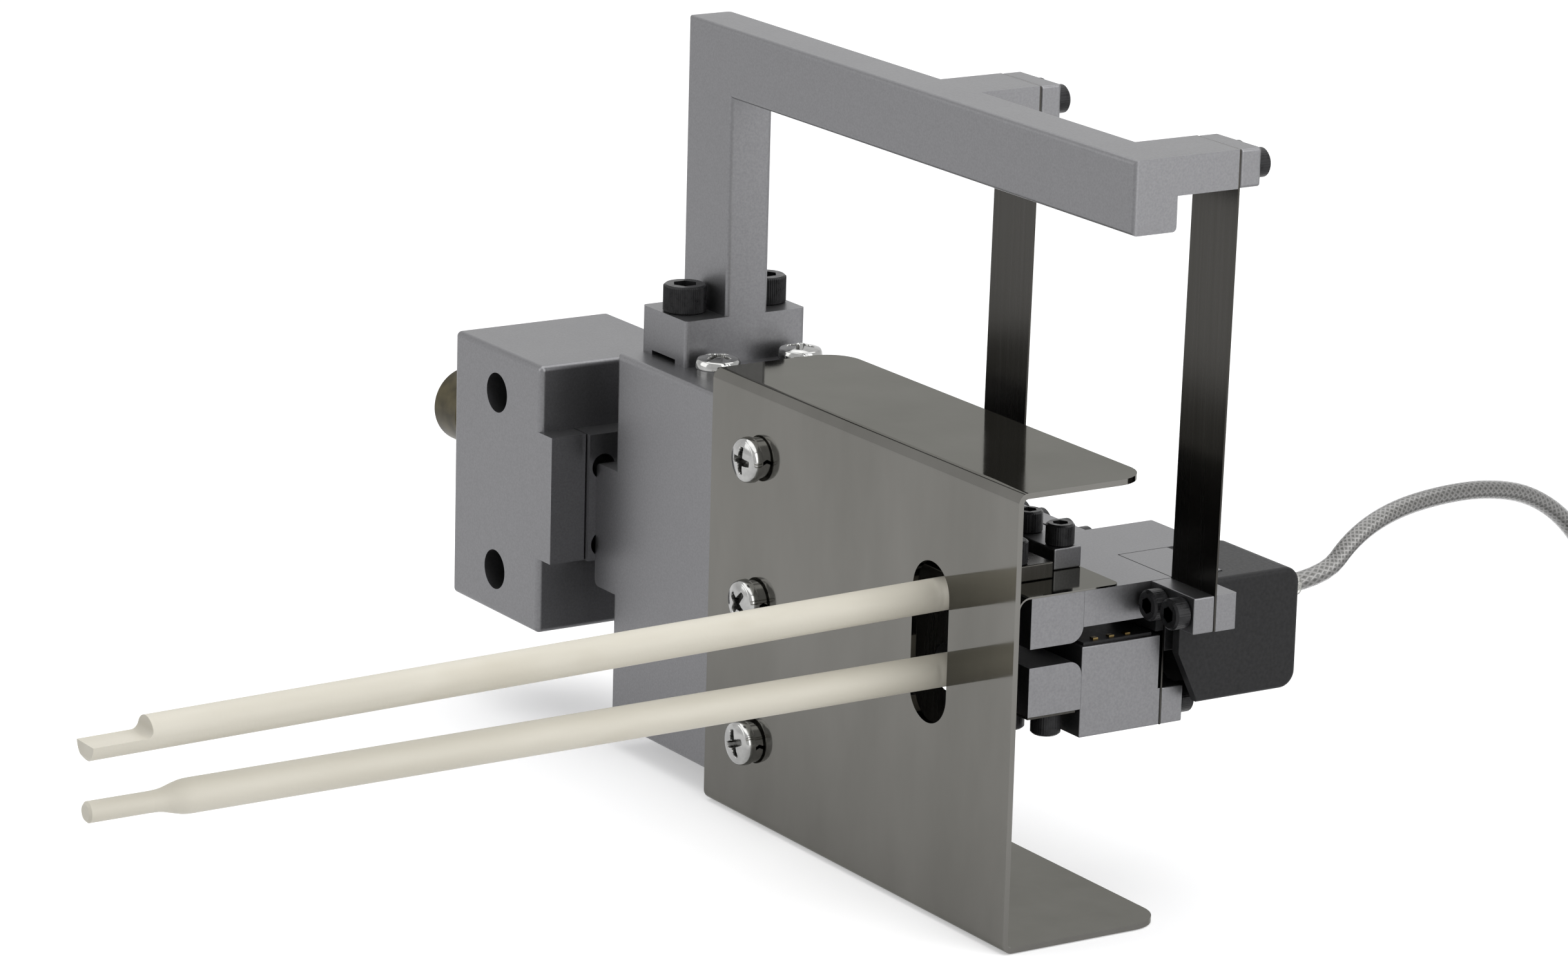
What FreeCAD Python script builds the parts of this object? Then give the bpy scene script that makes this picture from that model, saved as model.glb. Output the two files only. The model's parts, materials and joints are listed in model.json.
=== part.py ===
import FreeCAD, Part
import math
import os

# Clip-on displacement gauge with two ceramic rods, hung by two spring straps
# from a rigid arm behind a heat shield. Millimetres, +Z up, rods point to -Y.
# Places are counted from the shield: X from its free right edge, Y from the
# front face of its web and Z from the surface that it stands on.

os.makedirs("parts", exist_ok=True)
V = FreeCAD.Vector

# General clearances and small radii
edge_break = 0.5
slip_gap = 0.3
bore_play = 0.05
seam = 0.2
contact_gap = 0.02

# Heat shield, one folded sheet
sheet_t = 1.0
shield_w = 95.25
shield_head = 5.25
top_flange = 26.8
bottom_flange = 33.7
bend_r = 1.9
flange_corner_r = 6.35
slot_w = 11.0
slot_h = 28.4
slot_x = -24.8
slot_z = 48.2

# Upright body behind the web, with its side tongue
upright_reach = 34.65
upright_w = 57.0
upright_t = 31.75
upright_z0 = 4.9
upright_h = 69.85
tongue_len = 6.5
tongue_t = 14.0
tongue_z0 = 29.4
tongue_h = 23.4

# Mounting block beside the tongue
block_w = 31.75
block_t = 33.0
block_h = 50.8
block_y0 = -7.9
block_z0 = 19.7
block_edge_r = 1.0
lip_set_back = 1.2
lip_out = 4.35
lip_t = 7.2
lip_z0 = 34.1
lip_h = 24.0
slide_depth = 9.0
slide_hole_d = 4.8
slide_hole_pitch = 14.7
slide_hole_inset = 3.2
slide_hole_mid = 10.4
mount_hole_d = 7.5
mount_hole_pitch = 34.0
mount_hole_inset = 15.8

# Clamp knob of the mounting block
knob_d = 14.4
knob_len = 9.2
knob_edge_r = 0.8
knob_hub_w = 10.0
knob_hub_len = 3.0
knob_stem_d = 5.0
knob_stem_len = 14.0
knob_inset_y = 9.6
knob_z = 52.6

# Support arm, machined from one plate
arm_overhang = 0.5
foot_w = 15.2
foot_len = 25.4
foot_t = 8.55
foot_back = 5.5
foot_groove_w = 8.0
foot_groove_t = 0.8
arm_t = 8.8
arm_h = 12.6
arm_top = 136.0
arm_back = 14.0
cross_h = 6.6
cross_reach = 12.2
arm_corner_r = 0.8
strap_pitch = 57.4

# Hanging straps
strap_w = 12.4
strap_t = 0.35
strap_right_x0 = -4.6
strap_lean = 1.2

# Gauge: the upper and lower arm and what they carry
gauge_x1 = -5.9
gauge_w = 31.3
gauge_front = 7.5
rod_clamp_t = 10.7
upper_top = 59.6
upper_t = 6.3
upper_clamp_h = 8.8
arm_slot_x = 15.9
arm_slot_len = 10.2
upper_tail = 54.5
lower_top = 49.8
lower_h = 16.0
lower_len = 16.6
lower_clamp_top = 47.5
lower_clamp_h = 8.6
clamp_corner_r = 2.6
lug_t = 4.2

# Flexure between the two arms
flexure_t = 0.3
flexure_relief = 0.6
flexure_pad_h = 6.6
flexure_pad_t = 4.2
flexure_clip_t = 1.6
flexure_clip_h = 2.8
rear_plate_h = 6.5
rear_plate_t = 4.4
rear_plate_w = 13.2
rear_screw_inset = 3.0

# Terminal board in the gap between the arms
board_inset = 0.6
board_t = 0.5
board_gap = 0.4
solder_count = 3
solder_pitch = 3.3
solder_start = 4.0
solder_size = 1.0
solder_rise = 0.35

# Rods
rod_d = 5.75
rod_tip_y = -157.5
rod_x = -24.8
rod_back_y = 17.5
upper_rod_z = 56.5
upper_rod_drop = 2.9
lower_rod_z = 42.9
lower_rod_drop = 0.6
flat_tip_len = 10.5
flat_tip_share = 0.49
shoulder_r = 1.2
neck_d = 3.5
neck_len = 11.2
taper_len = 7.0

# Leaves, pad and bar of the rod clamps
clamp_thread = 5.0
leaf_t = 0.3
leaf_reach = 18.5
leaf_inset = 0.4
leaf_drop = 2.8
leaf_bend_r = 2.0
leaf_corner_r = 1.6
leaf_notch = 1.2
bar_half = 7.2
bar_w = 5.6
bar_h = 3.7
bar_screw_inset = 2.5
pad_half = 10.9
pad_w = 9.1
pad_h = 2.85
pad_set_off = 2.7
pad_screw_inset = 2.5

# Transducer cover
cover_wall = 1.8
cover_w = 19.4
cover_back = 60.6
cover_top = 59.4
cover_z0 = 37.9
cover_front_top = 41.1
cover_nose_y = 35.5
cover_nose_z = 47.2
cover_foot_y = 40.0
cover_corner_r = 3.0
cover_edge_r = 0.8
cover_side_gap = 3.7
cover_pocket = 8.0
cover_bore = 5.6

# Cable: exit, run, coil and connector
cable_d = 3.3
cable_x = -8.0
cable_z = 54.3
sleeve_wall = 0.35
sleeve_in = 2.2
sleeve_out = 3.4
cable_play = 0.5
grommet_wall = 0.8
grommet_out = 0.6
coil_mid_d = 39.6
coil_w = 14.0
coil_h = 13.6
plug_d = 14.0
plug_len = 32.0
plug_nut_d = 16.5
plug_nut_len = 12.0
plug_tail_len = 8.0

# Screws: head diameter, head height, shank diameter, socket width
foot_screw = (7.9, 5.1, 5.0, 4.0)
upper_screw = (5.0, 2.7, 3.0, 2.5)
small_screw = (5.4, 3.0, 3.0, 2.5)
bar_screw = (5.0, 3.8, 3.0, 2.5)
pad_screw = (5.0, 4.2, 3.0, 2.5)
low_screw = (5.2, 4.4, 3.0, 2.5)
pan_head_d = 8.2
pan_head_h = 2.9
pan_shank_d = 4.1
pan_shank_len = 9.0
washer_d = 7.4
washer_t = 1.0
web_screw_inset = 7.8
web_screw_z = 40.9
web_screw_pitch = 26.1
top_screw_x = 5.7
top_screw_front = 8.7
top_screw_pitch = 17.8

AX = {"x": V(1, 0, 0), "y": V(0, 1, 0), "z": V(0, 0, 1)}


def box(x0, x1, y0, y1, z0, z1):
    """A block between two corners."""
    return Part.makeBox(x1 - x0, y1 - y0, z1 - z0, V(x0, y0, z0))


def rod(axis, diameter, start, length):
    """A round bar along an axis, from its start point."""
    return Part.makeCylinder(diameter / 2, length, V(*start), AX[axis])


def soften(solid, radius=edge_break, keep=None):
    """Round the edges of a solid that pass a test."""
    edges = [e for e in solid.Edges if keep is None or keep(e)]
    return solid.makeFillet(radius, edges)


def runs_along(edge, axis):
    """True for a straight edge that is parallel to an axis."""
    if not isinstance(edge.Curve, Part.Line):
        return False
    return abs(abs(edge.Curve.Direction.dot(AX[axis])) - 1) < 1e-6


def middle(edge):
    return edge.BoundBox.Center


def profile(points, axis, length):
    """A flat outline through the points, pulled along an axis."""
    wire = Part.makePolygon([V(*p) for p in points] + [V(*points[0])])
    return Part.Face(wire).extrude(AX[axis] * length)


def hexagon(axis, width, start, length):
    """A six sided prism, by its width across flats."""
    reach = width / math.sqrt(3)
    turns = [math.radians(60 * i) for i in range(6)]
    side = {"x": ("y", "z"), "y": ("z", "x"), "z": ("x", "y")}[axis]
    at = V(*start)
    points = [at + AX[side[0]] * (reach * math.cos(t)) + AX[side[1]] * (reach * math.sin(t)) for t in turns]
    wire = Part.makePolygon(points + [points[0]])
    return Part.Face(wire).extrude(AX[axis] * length)


def place_on(solid, seat, direction):
    """Turn a piece made along +Z so that +Z points along a direction, and set it on its seat."""
    turned = solid.copy()
    place = FreeCAD.Placement(V(*seat), FreeCAD.Rotation(V(0, 0, 1), V(*direction)))
    turned.Placement = place.multiply(solid.Placement)
    return turned


def socket_screw(size, seat, direction, grip):
    """A socket head cap screw: the head stands on its seat and the shank goes the other way."""
    head_d, head_h, shank_d, socket_w = size
    head = Part.makeCylinder(head_d / 2, head_h)
    head = soften(head, 0.3, lambda e: middle(e).z > head_h - 0.01)
    head = head.cut(hexagon("z", socket_w, (0, 0, head_h * 0.45), head_h))
    shank = Part.makeCylinder(shank_d / 2, grip, V(0, 0, -grip))
    return place_on(head.fuse(shank), seat, direction)


def pan_screw(seat, direction):
    """A pan head screw with a cross recess, standing on its washer."""
    dome_r = (pan_head_d ** 2 / 4 + pan_head_h ** 2) / (2 * pan_head_h)
    dome = Part.makeSphere(dome_r, V(0, 0, pan_head_h - dome_r))
    head = Part.makeCylinder(pan_head_d / 2 - 0.15, pan_head_h).common(dome)
    arm = 0.9
    reach = pan_head_d * 0.27
    depth = pan_head_h * 0.55
    for turn in (0, 90):
        blade = box(-reach, reach, -arm / 2, arm / 2, pan_head_h - depth, pan_head_h + 1)
        blade.rotate(V(0, 0, 0), V(0, 0, 1), turn)
        head = head.cut(blade)
    shank = Part.makeCylinder(pan_shank_d / 2, pan_shank_len + washer_t, V(0, 0, -pan_shank_len - washer_t))
    lifted = head.fuse(shank)
    lifted.translate(V(0, 0, washer_t))
    return place_on(lifted, seat, direction)


def split_washer(seat, direction):
    """A spring washer: a ring with one slanted cut."""
    ring = Part.makeCylinder(washer_d / 2, washer_t).cut(Part.makeCylinder(pan_shank_d / 2 + slip_gap, washer_t))
    gap = box(0, washer_d, -0.3, 0.3, -1, washer_t + 1)
    gap.rotate(V(0, 0, washer_t / 2), V(1, 0, 0), 25)
    return place_on(ring.cut(gap), seat, direction)


# Places that several pieces share
web_back = sheet_t
upright_x0 = -shield_w - upright_reach
upright_x1 = upright_x0 + upright_w
upright_y1 = web_back + upright_t
upright_z1 = upright_z0 + upright_h
shield_h = upright_z1 + shield_head
web_screw_x = upright_x1 - web_screw_inset
tongue_x0 = upright_x0 - tongue_len
slide_x1 = tongue_x0
lip_x1 = slide_x1 - lip_set_back
block_x1 = lip_x1 - lip_out
block_x0 = block_x1 - block_w
block_y1 = block_y0 + block_t
block_z1 = block_z0 + block_h
lip_z1 = lip_z0 + lip_h
slide_y0 = block_y0 + lip_t
slide_x0 = slide_x1 - slide_depth
knob_y = block_y0 + knob_inset_y
arm_x0 = upright_x0 - arm_overhang
foot_x1 = arm_x0 + foot_w
foot_y0 = web_back + foot_back
foot_y1 = foot_y0 + foot_len
foot_z1 = upright_z1 + foot_t
arm_y0 = web_back + arm_back
arm_y1 = arm_y0 + arm_t
arm_z0 = arm_top - arm_h
strap_right_x1 = strap_right_x0 + strap_w
strap_left_x0 = strap_right_x0 - strap_pitch
cross_y1 = arm_y1 + cross_reach
cross_z0 = arm_top - cross_h
strap_y0 = cross_y1
strap_y1 = strap_y0 + strap_t
gauge_x0 = gauge_x1 - gauge_w
arm_front = gauge_front + rod_clamp_t
upper_z0 = upper_top - upper_t
upper_clamp_z0 = upper_top - upper_clamp_h
lower_z0 = lower_top - lower_h
lower_back = arm_front + lower_len
lower_clamp_z0 = lower_clamp_top - lower_clamp_h
flexure_y0 = lower_back
flexure_y1 = flexure_y0 + flexure_t
flexure_x0 = gauge_x1 - rear_plate_w
rear_plate_z1 = lower_z0 + rear_plate_h
board_y1 = flexure_y0 - flexure_clip_t - board_gap
bar_y1 = gauge_front - leaf_inset + leaf_reach
bar_y0 = bar_y1 - bar_w
pad_y1 = bar_y0 - pad_set_off
pad_y0 = pad_y1 - pad_w
lug_right_x0 = gauge_x1
lug_right_x1 = strap_right_x1 - strap_lean
lug_left_x0 = strap_left_x0 - strap_lean
lug_left_x1 = gauge_x0
cover_x1 = gauge_x1 + cover_side_gap
cover_x0 = cover_x1 - cover_w


def heat_shield():
    """A folded channel with round bends, round flange corners and one slot for the rods."""
    inner_r = bend_r - sheet_t
    outer = box(-shield_w, 0, 0, bottom_flange, 0, shield_h)
    outer = outer.makeFillet(bend_r, [e for e in outer.Edges if runs_along(e, "x") and middle(e).y < 0.01])
    inner = box(-shield_w - 1, 1, sheet_t, bottom_flange + 1, sheet_t, shield_h - sheet_t)
    inner = inner.makeFillet(inner_r, [e for e in inner.Edges if runs_along(e, "x") and middle(e).y < sheet_t + 0.01])
    shell = outer.cut(inner)
    shell = shell.cut(box(-shield_w - 1, 1, top_flange, bottom_flange + 1, shield_h / 2, shield_h + 1))
    far = [e for e in shell.Edges if runs_along(e, "z") and e.Length < sheet_t + 0.01 and middle(e).y > top_flange - 0.01]
    shell = shell.makeFillet(flange_corner_r, far)
    half = slot_w / 2
    straight = slot_h / 2 - half
    slot = box(slot_x - half, slot_x + half, -1, sheet_t + 1, slot_z - straight, slot_z + straight)
    for side in (-straight, straight):
        slot = slot.fuse(rod("y", slot_w, (slot_x, -1, slot_z + side), sheet_t + 2))
    shell = shell.cut(slot)
    for z in web_screw_heights():
        shell = shell.cut(rod("y", pan_shank_d + 2 * slip_gap, (web_screw_x, -1, z), sheet_t + 2))
    return shell


def web_screw_heights():
    return [web_screw_z + web_screw_pitch * i for i in (-1, 0, 1)]


def top_screw_places():
    x = foot_x1 + top_screw_x
    return [(x, web_back + top_screw_front + top_screw_pitch * i) for i in (0, 1)]


def foot_screw_places():
    front = (foot_y0 + arm_y0) / 2
    back = (foot_y1 + arm_y1) / 2
    x = (arm_x0 + foot_x1) / 2
    return [(x, front), (x, back)]


def upright():
    """The thick body behind the shield, with the tongue that reaches the mounting block."""
    body = box(upright_x0, upright_x1, web_back, upright_y1, upright_z0, upright_z1)
    tongue = box(tongue_x0, upright_x0 + 1, web_back, web_back + tongue_t, tongue_z0, tongue_z0 + tongue_h)
    tongue = soften(tongue, 1.2, lambda e: runs_along(e, "y") and middle(e).x < tongue_x0 + 0.1)
    body = soften(body, 1.0, lambda e: runs_along(e, "x") or runs_along(e, "z")).fuse(tongue)
    for z in web_screw_heights():
        body = body.cut(rod("y", pan_shank_d + 2 * bore_play, (web_screw_x, web_back - 1, z), pan_shank_len + 2))
    for x, y in top_screw_places():
        depth = pan_shank_len + 1
        body = body.cut(rod("z", pan_shank_d + 2 * bore_play, (x, y, upright_z1 - depth), depth + 1))
    for x, y in foot_screw_places():
        depth = foot_screw_grip() - foot_t + 1
        body = body.cut(rod("z", foot_screw[2] + 2 * bore_play, (x, y, upright_z1 - depth), depth + 1))
    return body.removeSplitter()


def foot_screw_grip():
    return foot_t + 9.0


def slide_hole_places():
    y = slide_y0 + slide_hole_inset
    z = lip_z0 + slide_hole_mid
    return [(y, z - slide_hole_pitch / 2), (y, z + slide_hole_pitch / 2)]


def mounting_block():
    """The block that a frame holds, with a standing lip in front of the slide plate's pocket."""
    body = soften(box(block_x0, block_x1, block_y0, block_y1, block_z0, block_z1), block_edge_r)
    lip = box(block_x1 - 2, lip_x1, block_y0, slide_y0, lip_z0, lip_z1)
    body = body.fuse(lip)
    pocket = box(slide_x0, block_x1 + 1, slide_y0, block_y1 + 1, lip_z0, lip_z1)
    body = body.cut(pocket)
    x = block_x0 + mount_hole_inset
    for side in (-1, 1):
        z = (block_z0 + block_z1) / 2 + side * mount_hole_pitch / 2
        body = body.cut(rod("y", mount_hole_d, (x, block_y0 - 1, z), block_t + 2))
    body = body.cut(rod("x", knob_stem_d + 2 * bore_play, (block_x0 - 1, knob_y, knob_z), knob_stem_len + 1))
    return body.removeSplitter()


def slide_plate():
    """The plate in the pocket, with two cross holes beside the tongue."""
    body = box(slide_x0, slide_x1, slide_y0 + seam, block_y1, lip_z0, lip_z1)
    for y, z in slide_hole_places():
        body = body.cut(rod("x", slide_hole_d, (slide_x0 - 1, y, z), slide_depth + 2))
    return body


def clamp_knob():
    """A turned brass knob with a six sided hub and its stem."""
    face = block_x0 - slip_gap
    hub = hexagon("x", knob_hub_w, (face - knob_hub_len, knob_y, knob_z), knob_hub_len)
    head = rod("x", knob_d, (face - knob_hub_len - knob_len, knob_y, knob_z), knob_len)
    head = soften(head, knob_edge_r)
    stem = rod("x", knob_stem_d, (face, knob_y, knob_z), knob_stem_len - 1)
    return head.fuse([hub, stem])


def support_arm():
    """Foot, post, beam and two cross arms, machined as one piece."""
    foot = box(arm_x0, foot_x1, foot_y0, foot_y1, upright_z1, foot_z1)
    post = box(arm_x0, foot_x1, arm_y0, arm_y1, foot_z1 - 1, arm_top)
    beam = box(arm_x0, strap_right_x1, arm_y0, arm_y1, arm_z0, arm_top)
    body = foot.fuse([post, beam])
    for x0 in (strap_left_x0, strap_right_x0):
        body = body.fuse(box(x0, x0 + strap_w, arm_y1 - 1, cross_y1, cross_z0, arm_top))
    body = body.removeSplitter()
    outer = [e for e in body.Edges if runs_along(e, "z") and e.Length > foot_t - 1]
    outer += [e for e in body.Edges if runs_along(e, "x") and e.Length > shield_w]
    body = body.makeFillet(arm_corner_r, outer)
    groove_x = (arm_x0 + foot_x1) / 2
    groove = box(groove_x - foot_groove_w / 2, groove_x + foot_groove_w / 2, foot_y0 - 1, foot_y1 + 1,
                 upright_z1 - 1, upright_z1 + foot_groove_t)
    body = body.cut(groove)
    for x, y in foot_screw_places():
        body = body.cut(rod("z", foot_screw[2] + 2 * slip_gap, (x, y, upright_z1 - 1), foot_t + 2))
    for x in upper_strap_screw_xs():
        body = body.cut(rod("y", upper_screw[2] + 2 * bore_play, (x, cross_y1 - 6, cross_mid_z()), 7))
    return body


def cross_mid_z():
    return (cross_z0 + arm_top) / 2


def strap_screw_xs(x0):
    """Two screws side by side across the width of a strap."""
    inset = 3.1
    return [x0 + inset, x0 + strap_w - inset]


def upper_strap_screw_xs():
    return strap_screw_xs(strap_left_x0) + strap_screw_xs(strap_right_x0)


def lower_right_screw_xs():
    return [lug_right_x0 + 3.2, lug_right_x1 - 3.2]


def lower_left_screw_xs():
    clamped = [lug_left_x0 + 3.1, lug_left_x0 + strap_w - 3.1]
    return clamped + [lug_left_x1 - 9.0, lug_left_x1 - 3.1]


def lug_mid_z():
    return (upper_z0 + upper_top) / 2


def upper_strap_clamp(x0):
    """The plate that holds a strap against the end of its cross arm."""
    plate = soften(box(x0, x0 + strap_w, strap_y1, strap_y1 + lug_t, cross_z0, arm_top), edge_break)
    for x in strap_screw_xs(x0):
        plate = plate.cut(rod("y", upper_screw[2] + 2 * slip_gap, (x, strap_y1 - 1, cross_mid_z()), lug_t + 2))
    return plate


def strap(x0, holes_low):
    """A long flat spring strap that leans a little, as the gauge hangs."""
    low_x0 = x0 - strap_lean
    outline = [(x0, strap_y0, arm_top), (x0 + strap_w, strap_y0, arm_top), (x0 + strap_w, strap_y0, cross_z0),
               (low_x0 + strap_w, strap_y0, upper_top), (low_x0 + strap_w, strap_y0, upper_z0),
               (low_x0, strap_y0, upper_z0), (low_x0, strap_y0, upper_top), (x0, strap_y0, cross_z0)]
    body = profile(outline, "y", strap_t)
    for x in strap_screw_xs(x0):
        body = body.cut(rod("y", small_screw[2] + 2 * slip_gap, (x, strap_y0 - 1, cross_mid_z()), strap_t + 2))
    for x in holes_low:
        body = body.cut(rod("y", small_screw[2] + 2 * slip_gap, (x, strap_y0 - 1, lug_mid_z()), strap_t + 2))
    return body


def lug(x0, x1, y0, y1, holes, hole_d):
    """A lower strap clamp bar with its screw holes along Y."""
    body = soften(box(x0, x1, y0, y1, upper_z0, upper_top), edge_break / 2)
    for x in holes:
        body = body.cut(rod("y", hole_d, (x, y0 - 1, lug_mid_z()), y1 - y0 + 2))
    return body


def saddle():
    """The piece in the corner of the upper arm that carries the right strap."""
    x0 = gauge_x1 - arm_slot_x + seam
    y0 = strap_y1
    body = box(x0, gauge_x1, y0, y0 + arm_slot_len, upper_z0, upper_top)
    body = body.fuse(box(gauge_x1 - 1, lug_right_x1, y0, y0 + lug_t, upper_z0, upper_top)).removeSplitter()
    body = soften(body, edge_break / 2, lambda e: runs_along(e, "z"))
    for x in lower_right_screw_xs():
        body = body.cut(rod("y", small_screw[2] + 2 * bore_play, (x, y0 - 1, lug_mid_z()), lug_t + 2))
    return body


def upper_arm():
    """The upper arm: a flat plate with its corner cut away for the saddle."""
    body = box(gauge_x0, gauge_x1, arm_front, upper_tail, upper_z0, upper_top)
    corner = box(gauge_x1 - arm_slot_x, gauge_x1 + 1, strap_y1 - seam, upper_tail + 1, upper_z0 - 1, upper_top + 1)
    body = soften(body.cut(corner), edge_break / 2, lambda e: runs_along(e, "z"))
    for x, y in clamp_bar_places():
        body = body.cut(rod("z", bar_screw[2] + 2 * bore_play, (x, y, upper_top - clamp_thread), clamp_thread + 1))
    return body


def rod_groove(z_axis, z_open):
    """The open groove in a rod clamp: half round at the rod and straight out to one side."""
    half = rod_d / 2 + bore_play
    y0 = gauge_front - 1
    closed = half if z_axis > z_open else -half
    left = V(rod_x - half, y0, z_axis)
    right = V(rod_x + half, y0, z_axis)
    left_open = V(rod_x - half, y0, z_open)
    right_open = V(rod_x + half, y0, z_open)
    edges = [Part.Arc(left, V(rod_x, y0, z_axis + closed), right).toShape(),
             Part.LineSegment(right, right_open).toShape(),
             Part.LineSegment(right_open, left_open).toShape(),
             Part.LineSegment(left_open, left).toShape()]
    return Part.Face(Part.Wire(edges)).extrude(AX["y"] * (rod_clamp_t + 2))


def rod_clamp(z0, z1, round_low, z_axis, z_open):
    """A rod clamp block with one round corner at the back."""
    body = box(gauge_x0, gauge_x1, gauge_front, arm_front, z0, z1)
    z_round = z0 if round_low else z1
    edges = [e for e in body.Edges if runs_along(e, "x") and abs(middle(e).z - z_round) < 0.01
             and abs(middle(e).y - arm_front) < 0.01]
    body = body.makeFillet(clamp_corner_r, edges)
    body = body.cut(tilted(rod_groove(z_axis, z_open), z_axis, round_low))
    places = press_pad_places() if round_low else low_screw_places()
    size = pad_screw if round_low else low_screw
    z_hole = z1 - clamp_thread if round_low else z0 - 1
    for x, y in places:
        body = body.cut(rod("z", size[2] + 2 * bore_play, (x, y, z_hole), clamp_thread + 1))
    return body


def rod_tilt(upper):
    """The small downward lean of a rod, in degrees."""
    drop = upper_rod_drop if upper else lower_rod_drop
    return math.degrees(math.atan2(drop, gauge_front - rod_tip_y))


def tilted(solid, z, upper):
    """Turn a rod or its groove about the front of its clamp."""
    turned = solid.copy()
    turned.rotate(V(rod_x, gauge_front, z), V(1, 0, 0), rod_tilt(upper))
    return turned


def ceramic_upper_rod():
    """The upper rod: its tip is cut to a lower half round with a bevelled end."""
    length = rod_back_y - rod_tip_y
    body = rod("y", rod_d, (rod_x, rod_tip_y, upper_rod_z), length)
    keep_top = upper_rod_z - rod_d / 2 + rod_d * flat_tip_share
    step = box(rod_x - rod_d, rod_x + rod_d, rod_tip_y - 1, rod_tip_y + flat_tip_len, keep_top, upper_rod_z + rod_d)
    step = step.makeFillet(shoulder_r, [e for e in step.Edges if runs_along(e, "x") and middle(e).y > rod_tip_y
                                        and middle(e).z < keep_top + 0.01])
    body = body.cut(step)
    bevel = profile([(rod_x - rod_d, rod_tip_y - 1, upper_rod_z), (rod_x - rod_d, rod_tip_y - 1, upper_rod_z - rod_d),
                     (rod_x - rod_d, rod_tip_y + 1.6, upper_rod_z - rod_d)], "x", 2 * rod_d)
    body = body.cut(bevel)
    return tilted(body, upper_rod_z, True)


def ceramic_lower_rod():
    """The lower rod: a smooth taper leads to a thin round tip on the same axis."""
    y0 = rod_tip_y
    y1 = y0 + neck_len
    y2 = y1 + taper_len
    half = rod_d / 2
    thin = neck_d / 2
    ease = 0.45
    curve = Part.BezierCurve()
    curve.setPoles([V(0, y1, thin), V(0, y1 + ease * taper_len, thin), V(0, y2 - ease * taper_len, half), V(0, y2, half)])
    nose = 0.4
    edges = [Part.LineSegment(V(0, y0, 0), V(0, y0, thin - nose)).toShape(),
             Part.LineSegment(V(0, y0, thin - nose), V(0, y0 + nose, thin)).toShape(),
             Part.LineSegment(V(0, y0 + nose, thin), V(0, y1, thin)).toShape(),
             curve.toShape(),
             Part.LineSegment(V(0, y2, half), V(0, rod_back_y, half)).toShape(),
             Part.LineSegment(V(0, rod_back_y, half), V(0, rod_back_y, 0)).toShape(),
             Part.LineSegment(V(0, rod_back_y, 0), V(0, y0, 0)).toShape()]
    body = Part.Face(Part.Wire(edges)).revolve(V(0, 0, 0), V(0, 1, 0), 360)
    body.translate(V(rod_x, 0, lower_rod_z))
    return tilted(body, lower_rod_z, False)


def leaf_z0():
    return upper_top + contact_gap


def leaf_z1():
    return leaf_z0() + leaf_t


def hold_leaf():
    """The thin polished leaf over the upper rod clamp, folded down in front of it."""
    z0 = leaf_z0()
    y_bend = gauge_front - leaf_inset
    y_front = y_bend - leaf_bend_r
    flat = box(gauge_x0, gauge_x1, y_bend, bar_y1, z0, z0 + leaf_t)
    flat = soften(flat, leaf_corner_r, lambda e: runs_along(e, "z") and middle(e).y > bar_y1 - 0.01)
    ring = rod("x", 2 * (leaf_bend_r + leaf_t), (gauge_x0, y_bend, z0 - leaf_bend_r), gauge_w)
    ring = ring.cut(rod("x", 2 * leaf_bend_r, (gauge_x0 - 1, y_bend, z0 - leaf_bend_r), gauge_w + 2))
    quarter = box(gauge_x0, gauge_x1, y_bend - 2 * leaf_bend_r, y_bend, z0 - leaf_bend_r, z0 + 2 * leaf_bend_r)
    leg_top = z0 - leaf_bend_r
    leg = box(gauge_x0, gauge_x1, y_front - leaf_t, y_front, leg_top - leaf_drop, leg_top)
    body = flat.fuse([ring.common(quarter), leg]).removeSplitter()
    for x, y in clamp_bar_places() + press_pad_places():
        body = body.cut(rod("z", bar_screw[2] + 2 * slip_gap, (x, y, z0 - 1), leaf_t + 2))
    wide = rod_d / 2 + leaf_notch
    return body.cut(box(rod_x - wide, rod_x + wide, y_front - 2, y_bend, leg_top - leaf_drop - 1, upper_top - seam))


def clamp_bar_places():
    reach = bar_half - bar_screw_inset
    y = (bar_y0 + bar_y1) / 2
    return [(rod_x + reach, y), (rod_x - reach, y)]


def press_pad_places():
    reach = pad_half - pad_screw_inset
    y = pad_y0 + pad_screw_inset
    return [(rod_x + reach, y), (rod_x - reach, y)]


def press_pad():
    """The dark polished plate that presses the leaf onto the upper rod clamp."""
    z0 = leaf_z1() + contact_gap
    body = soften(box(rod_x - pad_half, rod_x + pad_half, pad_y0, pad_y1, z0, z0 + pad_h), edge_break / 2)
    for x, y in press_pad_places():
        body = body.cut(rod("z", pad_screw[2] + 2 * slip_gap, (x, y, z0 - 1), pad_h + 2))
    return body


def clamp_bar():
    """The bright bar at the leaf's back edge, held by two upright screws."""
    z0 = leaf_z1() + contact_gap
    body = soften(box(rod_x - bar_half, rod_x + bar_half, bar_y0, bar_y1, z0, z0 + bar_h), edge_break / 2)
    for x, y in clamp_bar_places():
        body = body.cut(rod("z", bar_screw[2] + 2 * slip_gap, (x, y, z0 - 1), bar_h + 2))
    return body


def leaf_screws(places, size, height):
    """Upright screws through a clamping piece and the leaf."""
    z = leaf_z1() + contact_gap + height
    grip = z - upper_top + clamp_thread - slip_gap
    return group([socket_screw(size, (x, y, z), (0, 0, 1), grip) for x, y in places])


def low_screw_places():
    y = gauge_front + rod_clamp_t / 2
    return [(gauge_x1 - 5.0, y + 1.9), (gauge_x1 - 5.0 - low_screw[0] - 0.6, y - 1.5), (gauge_x0 + 4.6, y + 1.9)]


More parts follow.
